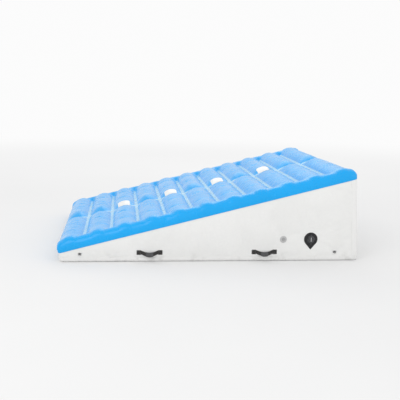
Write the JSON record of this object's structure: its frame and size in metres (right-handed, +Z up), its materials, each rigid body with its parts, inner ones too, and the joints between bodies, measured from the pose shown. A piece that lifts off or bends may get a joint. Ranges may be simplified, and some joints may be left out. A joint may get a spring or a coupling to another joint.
{
  "type": "inflatable wedge springboard",
  "caption": "Air-filled gymnastics take-off wedge with a quilted azure deck, white walls, tie webs inside, carrying handles, anchor rings and valves.",
  "frame": {"origin": "under the middle of the base, on the floor", "axes": "+X runs from the low nose to the high rear, +Z up; the valves are on the -Y wall"},
  "size_m": [2.4215, 1.949, 0.7242],
  "materials": {
    "deck_pvc": "glossy azure coated fabric",
    "wall_pvc": "satin white coated fabric",
    "patch_pvc": "satin white coated fabric",
    "base_pvc": "matt light grey coated fabric with a fine grip texture",
    "web_cloth": "bare woven polyester",
    "webbing": "woven black webbing",
    "black_pvc": "satin black coated fabric",
    "valve_dark": "moulded nylon",
    "valve_grey": "moulded nylon",
    "steel": "polished stainless wire",
    "spring_steel": "drawn wire",
    "rubber": "matt"
  },
  "bodies": {
    "bladder": {"base_panel": "base_pvc", "near_side_wall": "wall_pvc", "far_side_wall": "wall_pvc", "rear_wall": "wall_pvc", "nose_wall": "wall_pvc", "deck_panel": "deck_pvc", "deck_patch_1": "patch_pvc", "deck_patch_2": "patch_pvc", "deck_patch_3": "patch_pvc", "deck_patch_4": "patch_pvc", "base_seam_tape": "wall_pvc", "near_nose_corner_tape": "wall_pvc", "near_rear_corner_tape": "wall_pvc", "far_nose_corner_tape": "wall_pvc", "far_rear_corner_tape": "wall_pvc", "tie_web_01": "web_cloth", "tie_web_02": "web_cloth", "tie_web_03": "web_cloth", "tie_web_04": "web_cloth", "tie_web_05": "web_cloth", "tie_web_06": "web_cloth", "tie_web_07": "web_cloth", "tie_web_08": "web_cloth", "tie_web_09": "web_cloth", "tie_web_10": "web_cloth", "centre_web": "web_cloth", "near_front_handle_patch": "patch_pvc", "near_rear_handle_patch": "patch_pvc", "near_front_anchor_patch": "patch_pvc", "near_rear_anchor_patch": "patch_pvc", "far_front_handle_patch": "patch_pvc", "far_rear_handle_patch": "patch_pvc", "far_front_anchor_patch": "patch_pvc", "far_rear_anchor_patch": "patch_pvc", "valve_patch": "black_pvc", "valve_body": "valve_dark", "valve_clamp_nut": "valve_dark", "valve_guide": "valve_dark", "valve_spring": "spring_steel", "valve_cap_tether": "valve_dark", "relief_body": "valve_grey", "relief_clamp_nut": "valve_dark", "relief_cover": "valve_grey", "relief_spring": "spring_steel"},
    "near_front_handle_loop": {"near_front_handle_strap": "webbing"},
    "near_rear_handle_loop": {"near_rear_handle_strap": "webbing"},
    "near_front_anchor_d_ring": {"near_front_anchor_ring": "steel"},
    "near_rear_anchor_d_ring": {"near_rear_anchor_ring": "steel"},
    "far_front_handle_loop": {"far_front_handle_strap": "webbing"},
    "far_rear_handle_loop": {"far_rear_handle_strap": "webbing"},
    "far_front_anchor_d_ring": {"far_front_anchor_ring": "steel"},
    "far_rear_anchor_d_ring": {"far_rear_anchor_ring": "steel"},
    "valve_push_button": {"valve_plunger": "valve_dark", "valve_seal": "rubber"},
    "valve_lid": {"valve_cap": "valve_dark"},
    "relief_disc": {"relief_poppet": "valve_dark"}
  },
  "joints": [
    {"name": "near_front_handle_lift", "type": "hinge", "parent": "bladder", "child": "near_front_handle_loop", "pos_m": [-0.483, -0.95325, 0.092], "axis": [-1, 0, 0], "range_deg": [0, 120]},
    {"name": "near_rear_handle_lift", "type": "hinge", "parent": "bladder", "child": "near_rear_handle_loop", "pos_m": [0.435, -0.95325, 0.092], "axis": [-1, 0, 0], "range_deg": [0, 120]},
    {"name": "near_front_anchor_swing", "type": "hinge", "parent": "bladder", "child": "near_front_anchor_d_ring", "pos_m": [-1.03, -0.9542, 0.0725], "axis": [-1, 0, 0], "range_deg": [0, 170]},
    {"name": "near_rear_anchor_swing", "type": "hinge", "parent": "bladder", "child": "near_rear_anchor_d_ring", "pos_m": [1.01, -0.9542, 0.08], "axis": [-1, 0, 0], "range_deg": [0, 170]},
    {"name": "far_front_handle_lift", "type": "hinge", "parent": "bladder", "child": "far_front_handle_loop", "pos_m": [-0.483, 0.95325, 0.092], "axis": [1, 0, 0], "range_deg": [0, 120]},
    {"name": "far_rear_handle_lift", "type": "hinge", "parent": "bladder", "child": "far_rear_handle_loop", "pos_m": [0.435, 0.95325, 0.092], "axis": [1, 0, 0], "range_deg": [0, 120]},
    {"name": "far_front_anchor_swing", "type": "hinge", "parent": "bladder", "child": "far_front_anchor_d_ring", "pos_m": [-1.03, 0.9542, 0.0725], "axis": [1, 0, 0], "range_deg": [0, 170]},
    {"name": "far_rear_anchor_swing", "type": "hinge", "parent": "bladder", "child": "far_rear_anchor_d_ring", "pos_m": [1.01, 0.9542, 0.08], "axis": [1, 0, 0], "range_deg": [0, 170]},
    {"name": "valve_cap_flip", "type": "hinge", "parent": "bladder", "child": "valve_lid", "pos_m": [0.81, -0.959, 0.2145], "axis": [-1, 0, 0], "range_deg": [0, 170]},
    {"name": "valve_button_press", "type": "slide", "parent": "bladder", "child": "valve_push_button", "axis": [0, 1, 0], "range_m": [0, 0.008], "stiffness_N_per_m": 300, "springref_m": -0.004, "deforming": ["valve_spring"]},
    {"name": "relief_poppet_lift", "type": "slide", "parent": "bladder", "child": "relief_disc", "axis": [0, -1, 0], "range_m": [0, 0.004], "stiffness_N_per_m": 600, "springref_m": -0.004, "deforming": ["relief_spring"]}
  ]
}
